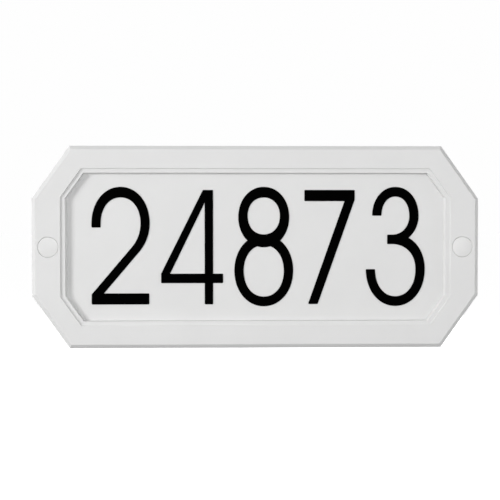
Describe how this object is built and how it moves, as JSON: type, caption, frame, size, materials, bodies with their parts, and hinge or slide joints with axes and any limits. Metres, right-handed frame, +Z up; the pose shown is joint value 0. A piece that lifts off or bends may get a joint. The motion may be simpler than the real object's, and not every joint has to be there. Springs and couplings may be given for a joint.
{
  "type": "house number plaque",
  "caption": "Wide wall plaque with cut corners, a stepped border round a sunken panel of stuck-on numerals, a ribbed open back and domed screw covers.",
  "frame": {"origin": "midway between the two screw holes, on the plane of the wall", "axes": "+X along the width to the reader's right, +Z up, +Y into the wall, so the front faces -Y"},
  "size_m": [0.381, 0.0113, 0.1722],
  "materials": {
    "plate": "satin white moulded plastic",
    "cover": "satin white moulded plastic",
    "numeral": "satin black self-adhesive sheet"
  },
  "bodies": {
    "root": {"plaque": "plate", "cap_left": "cover", "cap_right": "cover", "numeral_2": "numeral", "numeral_4": "numeral", "numeral_8": "numeral", "numeral_7": "numeral", "numeral_3": "numeral"}
  },
  "joints": []
}
